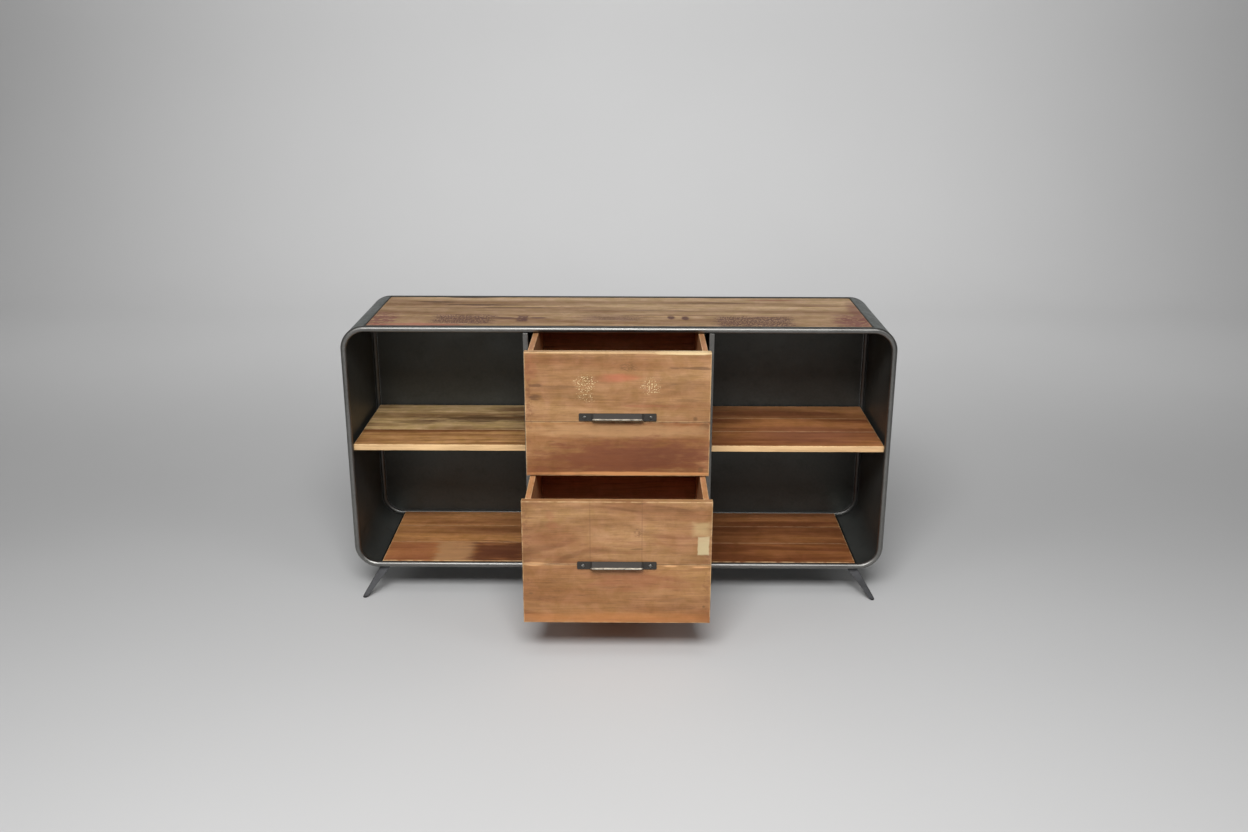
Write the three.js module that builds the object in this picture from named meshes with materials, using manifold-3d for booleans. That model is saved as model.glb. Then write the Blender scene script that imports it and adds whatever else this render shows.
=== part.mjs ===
// Sideboard buffet: a bent-sheet steel case with two round tube rims, a reclaimed-wood top, two
// open bays with a shelf each, and two deep drawers in the middle on ball-bearing slides.
//
// Frame: millimetres, +X right, +Y towards the back, +Z up. The origin is on the floor, under the
// middle of the piece as it is stored, with both drawers pulled out.

import * as THREE from 'three';
import { mergeVertices } from 'three/addons/utils/BufferGeometryUtils.js';
import Module from 'manifold-3d';

const wasm = await Module();
wasm.setup();

// ---------------------------------------------------------------- driving dimensions
const width = 1500; // over the rims
const depth = 400;
const height = 800;
const leg_height = 94; // floor to the underside of the rims

const tube_diameter = 16; // round tube of both rims
const corner_radius = 58; // of the rims' centre line
const sheet = 1.5; // case steel
const sheet_inset = 0.5; // case sides inside the rims' outer surface
const touch = 0.3; // clearance where two pieces touch

const plank_thickness = 12; // top and bottom boards
const plank_count = 3; // boards across the top
const plank_joint = 0.6; // open joint between two top boards
const top_rise = 13.5; // top face of the top boards above the tray they lie in
const board_end_gap = 7; // bare tray between a bottom board and the case side

const shelf_thickness = 18;
const shelf_height = 461; // floor to the shelves' top face
const shelf_end_gap = 12.5; // between a shelf and the case side
const angle_leg = 20; // shelf angles
const angle_setback = 14; // from the shelf's front and back edges

const bay_width = 487; // clear width between the drawer posts
const post_width = 13.5;
const post_depth = 30;
const post_setback = 2; // behind the rims' front

const front_thickness = 20; // drawer fronts
const front_side_gap = 5.5; // front to post
const front_top_gap = 2; // front to case, above and below
const front_middle_gap = 3; // between the two fronts
const side_thickness = 15;
const drawer_back_thickness = 12;
const drawer_bottom_thickness = 6;
const drawer_bottom_raise = 8; // drawer bottom above the lower edge of the sides
const side_bottom_step = 12; // sides above the lower edge of the front
const drawer_back_gap = 16; // drawer to back panel

const slide_height = 42;
const slide_width = 13.4; // drawer side to post
const slide_front_gap = 4; // slide behind the front
const slide_back_gap = 17.25; // slide to back panel
const rail_sheet = 1.5; // fixed member
const carrier_sheet = 1.2; // middle member
const runner_sheet = 1.5; // member on the drawer
const slide_play = 0.5; // between nested members
const slide_lip_gap = 2.2; // open side of a member to the piece it faces
const slide_overtravel = 10; // travel past the slide's own length

const upper_opening = 188; // stored half open
const handle_length = 200;
const handle_height = 20;
const handle_sheet = 3;
const handle_tab = 31; // flat end that is screwed to the front
const handle_bend_run = 8; // closed end between a tab and the grip
const handle_reach = 12; // finger gap behind the grip's lower edge
const handle_drop = 11; // of the grip's slope, from its upper edge to the lip
const handle_lip = 5; // lip along the grip's lower edge
const handle_lip_sheet = 2.5;
const handle_below_middle = 5; // of the front

const screw_diameter = 4;
const screw_head_diameter = 9;
const screw_head_height = 2.4;
const screw_grip = 12; // length in the wood
const screw_clearance = 0.3;
const screw_inset = 15; // from the handle's end

const leg_plate = { x: 62, y: 46, z: 2.7 };
const leg_top = { x: 30, y: 22 };
const leg_foot = { x: 14, y: 12 };
const leg_top_inset = { x: 17, y: 16 }; // leg's top centre, in from the plate's outer edges
const leg_foot_inset = { x: 21, y: 0 }; // leg's lower end, in from the case's outer faces
const pad_height = 3;
const pad_diameter = 11;

const arc_steps = 8; // facets in a quarter turn
const tube_sides = 12;
const small_sides = 12;

// ---------------------------------------------------------------- derived places
const tube_radius = tube_diameter / 2;
const rim_x = width / 2 - tube_radius;
const rim_low = leg_height + tube_radius;
const rim_high = height - tube_radius;
const rim_y = depth / 2 - tube_radius;
const flat_x = rim_x - corner_radius; // where the corners begin

const inside_y = rim_y - tube_radius - touch; // between the rims
const side_offset = tube_radius - sheet_inset; // case sides' outer face, out from the rims' centre line
const side_seam = Math.sqrt(tube_radius ** 2 - (side_offset - sheet) ** 2);
const side_y = rim_y - side_seam - touch; // the case sides reach in beside the tubes
const side_face = rim_x + side_offset - sheet; // inner face of a case side
const tray_x = flat_x - touch;
const tray_top_z = rim_high + side_offset; // upper edge of the top tray
const ceiling_z = rim_high - tube_radius - sheet / 2; // underside of the top tray
const top_seat_z = ceiling_z + sheet; // the top boards lie here
const tray_floor_z = leg_height + sheet_inset; // underside of the bottom tray
const bottom_seat_z = tray_floor_z + sheet;
const panel_front_y = rim_y - sheet / 2;

const post_inner = bay_width / 2;
const post_outer = post_inner + post_width;
const post_front_y = -depth / 2 + post_setback;
const post_back_y = post_front_y + post_depth;
const post_low = leg_height + tube_diameter + touch;
const post_high = ceiling_z - touch;
const rear_post_y = panel_front_y - touch - post_depth - slide_back_gap / 2;

const front_half = post_inner - front_side_gap;
const fronts_low = leg_height + tube_diameter + front_top_gap;
const fronts_high = ceiling_z - front_top_gap;
const front_height = (fronts_high - fronts_low - front_middle_gap) / 2;
const front_back_y = -depth / 2 + front_thickness; // closed drawer, back of the front
const side_outer = post_inner - touch - slide_width - touch;
const side_inner = side_outer - side_thickness;
const drawer_rear_y = panel_front_y - drawer_back_gap;

const slide_front_y = front_back_y + slide_front_gap;
const slide_back_y = panel_front_y - slide_back_gap;
const slide_length = slide_back_y - slide_front_y;
const lower_opening = slide_length + slide_overtravel; // stored fully open

const handle_out = touch + handle_reach + handle_sheet + handle_lip;
const stored_front_y = -depth / 2 - Math.max(upper_opening, lower_opening) - handle_out;
const stored_back_y = depth / 2 + Math.max(0, leg_foot.y / 2 - leg_foot_inset.y);
const case_y = -(stored_back_y + stored_front_y) / 2; // the origin is under the stored piece's middle

// ---------------------------------------------------------------- finishes
function finish(color, roughness, metalness) {
  return new THREE.MeshStandardMaterial({ color, roughness, metalness });
}

const steel = finish(0x4b4e50, 0.5, 0.85);
const case_steel = finish(0x2b2d2e, 0.6, 0.7);
const leg_steel = finish(0x3c3d3f, 0.65, 0.8);
const zinc = finish(0xa9abad, 0.35, 0.95);
const top_wood = finish(0x967d61, 0.6, 0);
const shelf_wood = finish(0x9a6f48, 0.6, 0);
const front_wood = finish(0xb2875f, 0.55, 0);
const box_wood = finish(0x9c6a43, 0.65, 0);
const rubber = finish(0x1b1b1b, 0.85, 0);

// ---------------------------------------------------------------- geometry helpers

// A closed solid for cutting and joining.
function solid(geometry) {
  const bare = geometry.clone();
  bare.deleteAttribute('normal');
  bare.deleteAttribute('uv');
  const merged = mergeVertices(bare, 1e-4);
  return new wasm.Manifold(
    new wasm.Mesh({
      numProp: 3,
      vertProperties: Float32Array.from(merged.attributes.position.array),
      triVerts: Uint32Array.from(merged.index.array),
    }),
  );
}

function geometry_of(manifold) {
  const { vertProperties, triVerts } = manifold.getMesh();
  const geometry = new THREE.BufferGeometry();
  geometry.setAttribute('position', new THREE.BufferAttribute(vertProperties, 3));
  geometry.setIndex(new THREE.BufferAttribute(triVerts, 1));
  return geometry;
}

// A box given by its lowest and highest corner.
function box(low, high) {
  const [x0, y0, z0] = low;
  const [x1, y1, z1] = high;
  const geometry = new THREE.BoxGeometry(x1 - x0, y1 - y0, z1 - z0);
  geometry.translate((x0 + x1) / 2, (y0 + y1) / 2, (z0 + z1) / 2);
  return geometry;
}

// Like box, for a piece on one side: x runs outwards from the middle, side is -1 or +1.
function side_box(side, low, high) {
  const [x0, y0, z0] = low;
  const [x1, y1, z1] = high;
  const xs = [side * x0, side * x1].sort((a, b) => a - b);
  return box([xs[0], y0, z0], [xs[1], y1, z1]);
}

// An outline in X and Z, given full thickness along Y from y0 to y1.
function slab(shape, y0, y1, curveSegments = 1) {
  const geometry = new THREE.ExtrudeGeometry(shape, {
    depth: y1 - y0,
    bevelEnabled: false,
    curveSegments,
  });
  geometry.rotateX(Math.PI / 2);
  geometry.translate(0, y1, 0);
  return geometry;
}

// An outline of [y, z] points, run along X from x0 to x1.
function bar_along_x(points, x0, x1) {
  const geometry = new THREE.ExtrudeGeometry(outline(points), { depth: x1 - x0, bevelEnabled: false });
  geometry.applyMatrix4(new THREE.Matrix4().set(0, 0, 1, x0, 1, 0, 0, 0, 0, 1, 0, 0, 0, 0, 0, 1));
  return geometry;
}

// A straight-edged outline through a few [across, up] points.
function outline(points) {
  return new THREE.Shape(points.map(([across, up]) => new THREE.Vector2(across, up)));
}

function side_name(side) {
  return side < 0 ? 'left' : 'right';
}

function add(group, name, geometry, material) {
  const mesh = new THREE.Mesh(geometry, material);
  mesh.name = name;
  group.add(mesh);
}

// ---------------------------------------------------------------- rims

// The rims' centre line: a rectangle with round corners, standing in the plane at y.
class RimLine extends THREE.Curve {
  constructor(y) {
    super();
    this.y = y;
    this.stations = 4 * (arc_steps + 1);
  }

  corner(quarter, turn) {
    const right = quarter === 0 || quarter === 3;
    const upper = quarter < 2;
    const angle = ((quarter + turn) * Math.PI) / 2;
    const x = (right ? flat_x : -flat_x) + corner_radius * Math.cos(angle);
    const z_centre = upper ? rim_high - corner_radius : rim_low + corner_radius;
    return new THREE.Vector3(x, this.y, z_centre + corner_radius * Math.sin(angle));
  }

  // t counts stations, so that straight and round stretches meet on one.
  getPoint(t, target = new THREE.Vector3()) {
    const along = (((t % 1) + 1) % 1) * this.stations;
    const quarter = Math.floor(along / (arc_steps + 1));
    const step = along - quarter * (arc_steps + 1);
    if (step <= arc_steps) return target.copy(this.corner(quarter, step / arc_steps));
    const next = this.corner((quarter + 1) % 4, 0);
    return target.copy(this.corner(quarter, 1)).lerp(next, step - arc_steps);
  }

  getPointAt(u, target) {
    return this.getPoint(u, target);
  }

  getTangentAt(u, target) {
    return this.getTangent(u, target);
  }
}

function rim(y) {
  const line = new RimLine(y);
  return new THREE.TubeGeometry(line, line.stations, tube_radius, tube_sides, true);
}

// ---------------------------------------------------------------- case sheets

// Each case side is one bent sheet: down from the top boards, round two corners, and in below.
function side_sheet() {
  const outer = corner_radius + side_offset;
  const inner = outer - sheet;
  const high = rim_high - corner_radius;
  const low = rim_low + corner_radius;
  const shape = new THREE.Shape();
  shape.moveTo(-flat_x, high + outer);
  shape.absarc(-flat_x, high, outer, Math.PI / 2, Math.PI, false);
  shape.absarc(-flat_x, low, outer, Math.PI, 1.5 * Math.PI, false);
  shape.lineTo(-flat_x, low - inner);
  shape.absarc(-flat_x, low, inner, 1.5 * Math.PI, Math.PI, true);
  shape.absarc(-flat_x, high, inner, Math.PI, Math.PI / 2, true);
  shape.closePath();
  return slab(shape, -side_y, side_y, arc_steps / 2);
}

// A shallow pan: the boards lie in it, and its walls meet the rims and the case sides.
function tray(floor_z, wall_top_z) {
  const pan = solid(box([-tray_x, -inside_y, floor_z], [tray_x, inside_y, wall_top_z]));
  const room_x = tray_x - sheet;
  const room_y = inside_y - sheet;
  const room = box([-room_x, -room_y, floor_z + sheet], [room_x, room_y, wall_top_z + sheet]);
  return geometry_of(pan.subtract(solid(room)));
}

// The back panel fills the back rim, inside its tube.
function back_panel() {
  const inset = tube_radius + touch;
  const radius = corner_radius - inset;
  const high = rim_high - corner_radius;
  const low = rim_low + corner_radius;
  const shape = new THREE.Shape();
  shape.moveTo(flat_x + radius, low);
  shape.absarc(flat_x, high, radius, 0, Math.PI / 2, false);
  shape.absarc(-flat_x, high, radius, Math.PI / 2, Math.PI, false);
  shape.absarc(-flat_x, low, radius, Math.PI, 1.5 * Math.PI, false);
  shape.absarc(flat_x, low, radius, 1.5 * Math.PI, 2 * Math.PI, false);
  shape.closePath();
  return slab(shape, panel_front_y, panel_front_y + sheet, arc_steps / 2);
}

function add_case(group) {
  add(group, 'front_rim', rim(-rim_y), steel);
  add(group, 'back_rim', rim(rim_y), steel);
  for (const side of [-1, 1]) {
    const sheet_geometry = side_sheet();
    if (side > 0) sheet_geometry.rotateZ(Math.PI);
    add(group, `side_sheet_${side_name(side)}`, sheet_geometry, case_steel);
  }
  add(group, 'top_tray', tray(ceiling_z, tray_top_z), case_steel);
  add(group, 'bottom_tray', tray(tray_floor_z, rim_low + sheet / 2), case_steel);
  add(group, 'back_panel', back_panel(), case_steel);
}

// ---------------------------------------------------------------- boards and shelves

function add_top_boards(group) {
  const half_x = tray_x - sheet - touch;
  const half_y = inside_y - sheet - touch;
  const pitch = (2 * half_y + plank_joint) / plank_count;
  const names = ['front', 'middle', 'back'];
  for (let i = 0; i < plank_count; i++) {
    const y0 = -half_y + i * pitch;
    const z0 = top_seat_z + touch;
    const plank = box([-half_x, y0, z0], [half_x, y0 + pitch - plank_joint, top_seat_z + top_rise]);
    add(group, `top_plank_${names[i] ?? i}`, plank, top_wood);
  }
}

// A shelf rests on two steel angles, one on the case side and one on the divider.
function angle_outline(side, x, toward) {
  const z = shelf_height - shelf_thickness - touch;
  const far = x + toward * angle_leg;
  const wall = x + toward * sheet;
  return outline([
    [side * x, z],
    [side * far, z],
    [side * far, z - sheet],
    [side * wall, z - sheet],
    [side * wall, z - angle_leg],
    [side * x, z - angle_leg],
  ]);
}

function add_bay(group, side) {
  const label = side_name(side);
  const inner_x = post_outer + touch;
  const room_y = inside_y - sheet - touch;

  const board_low = [inner_x, -room_y, bottom_seat_z + touch];
  const board_high = [tray_x - board_end_gap, room_y, bottom_seat_z + touch + plank_thickness];
  add(group, `bottom_board_${label}`, side_box(side, board_low, board_high), shelf_wood);

  const shelf_low = [inner_x, -inside_y, shelf_height - shelf_thickness];
  const shelf_high = [side_face - shelf_end_gap, inside_y, shelf_height];
  add(group, `shelf_${label}`, side_box(side, shelf_low, shelf_high), shelf_wood);

  const run = inside_y - angle_setback;
  const outer_angle = slab(angle_outline(side, side_face - touch, -1), -run, run);
  const inner_angle = slab(angle_outline(side, post_outer + touch, 1), -run, run);
  add(group, `shelf_angle_${label}_outer`, outer_angle, steel);
  add(group, `shelf_angle_${label}_inner`, inner_angle, steel);
}

// ---------------------------------------------------------------- dividers and posts

function add_divider(group, side) {
  const label = side_name(side);
  const front_low = [post_inner, post_front_y, post_low];
  const front_high = [post_outer, post_back_y, post_high];
  add(group, `front_post_${label}`, side_box(side, front_low, front_high), steel);

  const rear_low = [post_inner, rear_post_y, post_low];
  const rear_high = [post_outer, panel_front_y - touch, post_high];
  add(group, `rear_post_${label}`, side_box(side, rear_low, rear_high), steel);

  const sheet_low = [post_outer - sheet, post_back_y + touch, bottom_seat_z + touch];
  const sheet_high = [post_outer, rear_post_y - touch, post_high];
  add(group, `divider_${label}`, side_box(side, sheet_low, sheet_high), case_steel);
}

// ---------------------------------------------------------------- legs

// A tapered bar that leans outwards, welded to a plate under the bottom tray.
function leg(side, end) {
  const plate_high = tray_floor_z - touch;
  const plate_low = plate_high - leg_plate.z;
  const bar_high = plate_high - leg_plate.z / 2;
  const bar_low = pad_height + touch;
  const plate_edge = { x: tray_x - touch, y: inside_y };
  const top = { x: plate_edge.x - leg_top_inset.x, y: plate_edge.y - leg_top_inset.y };
  const foot = { x: width / 2 - leg_foot_inset.x, y: depth / 2 - leg_foot_inset.y };

  const bar = new THREE.BoxGeometry(1, 1, bar_high - bar_low);
  const corners = bar.attributes.position;
  for (let i = 0; i < corners.count; i++) {
    const upper = corners.getZ(i) > 0;
    const centre = upper ? top : foot;
    const size = upper ? leg_top : leg_foot;
    const x = side * centre.x + corners.getX(i) * size.x;
    const y = end * centre.y + corners.getY(i) * size.y;
    corners.setXYZ(i, x, y, upper ? bar_high : bar_low);
  }

  const xs = [side * plate_edge.x, side * (plate_edge.x - leg_plate.x)].sort((p, q) => p - q);
  const ys = [end * plate_edge.y, end * (plate_edge.y - leg_plate.y)].sort((p, q) => p - q);
  const plate = box([xs[0], ys[0], plate_low], [xs[1], ys[1], plate_high]);
  return geometry_of(solid(bar).add(solid(plate)));
}

function foot_pad(side, end) {
  const pad = new THREE.CylinderGeometry(pad_diameter / 2, pad_diameter / 2, pad_height, small_sides);
  pad.rotateX(Math.PI / 2);
  const x = side * (width / 2 - leg_foot_inset.x);
  const y = end * (depth / 2 - leg_foot_inset.y);
  pad.translate(x, y, pad_height / 2);
  return pad;
}

function add_legs(group) {
  for (const end of [-1, 1]) {
    for (const side of [-1, 1]) {
      const label = `${end < 0 ? 'front' : 'back'}_${side_name(side)}`;
      add(group, `leg_${label}`, leg(side, end), leg_steel);
      add(group, `foot_pad_${label}`, foot_pad(side, end), rubber);
    }
  }
}

// ---------------------------------------------------------------- drawer slides

// A channel from x_web to x_lip, centred on z. Its web is on the x_web side.
function channel(side, x_web, x_lip, half_height, thickness, z) {
  const toward = Math.sign(x_lip - x_web);
  const x_face = x_web + toward * thickness;
  return outline([
    [side * x_web, z - half_height],
    [side * x_lip, z - half_height],
    [side * x_lip, z - half_height + thickness],
    [side * x_face, z - half_height + thickness],
    [side * x_face, z + half_height - thickness],
    [side * x_lip, z + half_height - thickness],
    [side * x_lip, z + half_height],
    [side * x_web, z + half_height],
  ]);
}

const rail_web = post_inner - touch;
const rail_half = slide_height / 2;
const carrier_web = rail_web - rail_sheet - slide_play;
const carrier_half = rail_half - rail_sheet - slide_play;
const runner_web = side_outer + touch;
const runner_half = carrier_half - carrier_sheet - slide_play;
const runner_lip = carrier_web - carrier_sheet - slide_play - slide_lip_gap / 2;
const channel_lip = runner_web + slide_lip_gap;

function slide_member(side, member, z) {
  const shapes = {
    rail: () => channel(side, rail_web, channel_lip, rail_half, rail_sheet, z),
    carrier: () => channel(side, carrier_web, channel_lip + slide_play, carrier_half, carrier_sheet, z),
    runner: () => channel(side, runner_web, runner_lip, runner_half, runner_sheet, z),
  };
  return slab(shapes[member](), slide_front_y, slide_back_y);
}

// ---------------------------------------------------------------- handle

// A pressed pull: two tabs against the front, and between them a grip that slopes out and down from
// its upper edge to a lip, with closed ends and room for fingers from below. Made facing -Y, with
// the face it is screwed to at y = 0 and its middle at the origin.
function handle() {
  const end_x = handle_length / 2;
  const tab_x = end_x - handle_tab;
  const grip_x = tab_x - handle_bend_run;
  const back_y = -touch;
  const front_y = back_y - handle_sheet;
  const high_z = handle_height / 2;
  const lip_z = high_z - handle_drop;
  const low_z = lip_z - handle_lip_sheet;
  const thickness_z = handle_sheet * Math.hypot(1, handle_drop / handle_reach);
  const hood = [
    [back_y, high_z],
    [front_y, high_z],
    [front_y - handle_reach, lip_z],
    [front_y - handle_reach - handle_lip, lip_z],
    [front_y - handle_reach - handle_lip, low_z],
    [back_y - handle_reach, low_z],
    [back_y, high_z - thickness_z],
  ];

  let bar = solid(bar_along_x(hood, -grip_x, grip_x));
  for (const side of [-1, 1]) {
    const tab = side_box(side, [grip_x - handle_sheet, front_y, -high_z], [end_x, back_y, high_z]);
    const corners = [
      [grip_x - handle_sheet, ...hood[0]],
      [grip_x - handle_sheet, ...hood[2]],
      [grip_x - handle_sheet, ...hood[5]],
      [grip_x - handle_sheet, back_y, low_z],
      [grip_x, ...hood[0]],
      [grip_x, ...hood[2]],
      [grip_x, ...hood[5]],
      [grip_x, back_y, low_z],
      [tab_x, back_y, high_z],
      [tab_x, front_y, high_z],
      [tab_x, front_y, low_z],
      [tab_x, back_y, low_z],
    ];
    const cheek = wasm.Manifold.hull(corners.map(([x, y, z]) => [side * x, y, z]));
    bar = bar.add(solid(tab)).add(cheek);
  }

  for (const side of [-1, 1]) {
    const x = side * (end_x - screw_inset);
    bar = bar.subtract(solid(screw_hole(x, 0, front_y - handle_sheet, 2 * handle_sheet + touch)));
  }
  return geometry_of(bar);
}

// A round hole along Y that starts at y and is deep long.
function screw_hole(x, z, y, deep) {
  const radius = screw_diameter / 2 + screw_clearance;
  const hole = new THREE.CylinderGeometry(radius, radius, deep, small_sides);
  hole.translate(x, y + deep / 2, z);
  return hole;
}

// Round-headed wood screw, driven along +Y, with its head seated at y = 0.
function screw() {
  const head = screw_head_diameter / 2;
  const shank = screw_diameter / 2;
  const tip = handle_sheet + 2 * touch + screw_grip;
  const profile = [
    new THREE.Vector2(0, -tip),
    new THREE.Vector2(shank, -tip + screw_diameter),
    new THREE.Vector2(shank, 0),
    new THREE.Vector2(head, 0),
    new THREE.Vector2(head, screw_head_height / 3),
    new THREE.Vector2(head * 0.7, screw_head_height * 0.85),
    new THREE.Vector2(0, screw_head_height),
  ];
  const geometry = new THREE.LatheGeometry(profile, small_sides);
  geometry.rotateX(Math.PI);
  return geometry;
}

// ---------------------------------------------------------------- drawers

// One drawer, made closed. level 0 is the lower one, level 1 the upper one.
function add_drawer(group, name, level) {
  const low = fronts_low + level * (front_height + front_middle_gap);
  const high = low + front_height;
  const face_y = -depth / 2;
  const handle_z = (low + high) / 2 - handle_below_middle;
  const hole_depth = screw_grip + 2 * touch;

  let front = solid(box([-front_half, face_y, low], [front_half, front_back_y, high]));
  for (const side of [-1, 1]) {
    const x = side * (handle_length / 2 - screw_inset);
    const hole = screw_hole(x, handle_z, face_y - handle_sheet, handle_sheet + hole_depth);
    front = front.subtract(solid(hole));
  }
  add(group, `${name}_drawer_front`, geometry_of(front), front_wood);

  const side_low = low + side_bottom_step;
  const box_front_y = front_back_y + touch;
  const back_front_y = drawer_rear_y - drawer_back_thickness;
  for (const side of [-1, 1]) {
    const label = side_name(side);
    const panel = side_box(side, [side_inner, box_front_y, side_low], [side_outer, drawer_rear_y, high]);
    add(group, `${name}_drawer_side_${label}`, panel, box_wood);
    add(group, `${name}_slide_runner_${label}`, slide_member(side, 'runner', (low + high) / 2), zinc);

    const driven = screw();
    driven.translate(side * (handle_length / 2 - screw_inset), face_y - 2 * touch - handle_sheet, handle_z);
    add(group, `${name}_handle_screw_${label}`, driven, zinc);
  }

  const room_x = side_inner - touch;
  const back = box([-room_x, back_front_y, side_low], [room_x, drawer_rear_y, high]);
  add(group, `${name}_drawer_back`, back, box_wood);

  const bottom_z = side_low + drawer_bottom_raise;
  const bottom = box(
    [-room_x, box_front_y, bottom_z],
    [room_x, back_front_y - touch, bottom_z + drawer_bottom_thickness],
  );
  add(group, `${name}_drawer_bottom`, bottom, box_wood);

  const pull = handle();
  pull.translate(0, face_y, handle_z);
  add(group, `${name}_handle`, pull, steel);
}

// The fixed rails stay on the posts, and the carriers follow at half the drawer's travel.
function add_slides(fixed, carried, name, level) {
  const z = fronts_low + level * (front_height + front_middle_gap) + front_height / 2;
  for (const side of [-1, 1]) {
    const label = side_name(side);
    add(fixed, `${name}_slide_rail_${label}`, slide_member(side, 'rail', z), zinc);
    add(carried, `${name}_slide_carrier_${label}`, slide_member(side, 'carrier', z), zinc);
  }
}

// ---------------------------------------------------------------- the whole piece
const sideboard = new THREE.Group();
sideboard.position.y = case_y;

add_case(sideboard);
add_top_boards(sideboard);
for (const side of [-1, 1]) {
  add_divider(sideboard, side);
  add_bay(sideboard, side);
}
add_legs(sideboard);

const drawers = [
  { name: 'lower', opening: lower_opening },
  { name: 'upper', opening: upper_opening },
];
drawers.forEach(({ name, opening }, level) => {
  const drawer = new THREE.Group();
  const carriers = new THREE.Group();
  drawer.position.y = -opening;
  carriers.position.y = -opening / 2;
  add_drawer(drawer, name, level);
  add_slides(sideboard, carriers, name, level);
  sideboard.add(drawer, carriers);
});

export default sideboard;
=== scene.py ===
"""Looks for the sideboard: reclaimed-wood boards, dark steel case, drawers, studio and camera.

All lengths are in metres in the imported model's frame: +X right, +Y back, +Z up.
"""

import math
import random

import bmesh
import bpy
from mathutils import Matrix, Vector, noise


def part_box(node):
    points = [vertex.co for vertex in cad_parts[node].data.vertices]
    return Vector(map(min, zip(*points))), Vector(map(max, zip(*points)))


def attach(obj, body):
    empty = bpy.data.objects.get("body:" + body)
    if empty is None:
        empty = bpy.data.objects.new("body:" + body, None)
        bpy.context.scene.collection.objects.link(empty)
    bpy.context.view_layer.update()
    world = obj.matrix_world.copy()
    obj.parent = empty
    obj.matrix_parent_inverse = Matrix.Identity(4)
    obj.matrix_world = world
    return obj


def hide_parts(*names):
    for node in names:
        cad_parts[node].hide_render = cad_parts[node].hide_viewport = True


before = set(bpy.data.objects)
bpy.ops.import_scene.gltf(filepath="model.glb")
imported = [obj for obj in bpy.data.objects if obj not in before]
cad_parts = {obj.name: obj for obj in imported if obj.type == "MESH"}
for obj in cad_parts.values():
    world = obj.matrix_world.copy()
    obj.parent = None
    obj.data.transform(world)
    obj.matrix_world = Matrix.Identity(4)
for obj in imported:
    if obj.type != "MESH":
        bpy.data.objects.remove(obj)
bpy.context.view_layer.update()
scene = bpy.context.scene
MM = 0.001

# ------------------------------------------------------------------ places taken from the frame


def size_of(node):
    low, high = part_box(node)
    return high - low


TUBE_RADIUS = size_of("front_rim").y / 2
SHEET = size_of("back_panel").y
CORNER = 58 * MM  # radius of the rims' centre line
TOUCH = 0.3 * MM  # the CAD's clearance where two pieces meet
JOINT = 0.2 * MM  # between two glued boards
ROUNDING = 0.42  # share of an edge's radius at which its middle row of points lies

# ------------------------------------------------------------------ mesh building


class Shape:
    """Vertices and faces of one piece, with the attributes that the wood materials read."""

    def __init__(self):
        self.points = []
        self.faces = []
        self.marks = {"edge": [], "tone": [], "shift": [], "tint": []}

    def add(self, points, faces, edge=None, tone=0.0, shift=(0, 0, 0), tint=(1, 1, 1)):
        start = len(self.points)
        count = len(points)
        self.points += [tuple(p) for p in points]
        self.faces += [tuple(start + i for i in face) for face in faces]
        self.marks["edge"] += list(edge) if edge is not None else [0.0] * count
        self.marks["tone"] += [tone] * count
        self.marks["shift"] += [tuple(shift)] * count
        self.marks["tint"] += [tuple(tint)] * count

    def piece(self, name, body, material, replaces=()):
        mesh = bpy.data.meshes.new(name)
        mesh.from_pydata(self.points, [], self.faces)
        for key, values in self.marks.items():
            flat = isinstance(values[0], float)
            layer = mesh.attributes.new(key, "FLOAT" if flat else "FLOAT_VECTOR", "POINT")
            if flat:
                layer.data.foreach_set("value", values)
            else:
                layer.data.foreach_set("vector", [c for value in values for c in value])
        return finish_piece(mesh, name, body, material, replaces)


def finish_piece(mesh, name, body, material, replaces):
    """Makes an object of a mesh, on a body and with its material, in place of the named CAD nodes."""
    mesh.materials.append(material)
    mesh.polygons.foreach_set("use_smooth", [True] * len(mesh.polygons))
    mesh.update()
    obj = bpy.data.objects.new(name, mesh)
    scene.collection.objects.link(obj)
    obj.modifiers.new("even_normals", "WEIGHTED_NORMAL").keep_sharp = True
    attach(obj, body)
    if replaces:
        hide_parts(*replaces)
    return obj


def stops(low, high, radius, step, band):
    """Grid lines along one side of a board: fine in its rounded ends, then even in between."""
    inner_low, inner_high = low + radius, high - radius
    lines = [low, low + ROUNDING * radius, inner_low]
    if inner_high - inner_low > 3 * band:
        lines.append(inner_low + band)
        span = inner_high - inner_low - 2 * band
        count = max(1, round(span / step))
        lines += [inner_low + band + span * i / count for i in range(1, count)]
        lines.append(inner_high - band)
    return lines + [inner_high, high - ROUNDING * radius, high]


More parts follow.
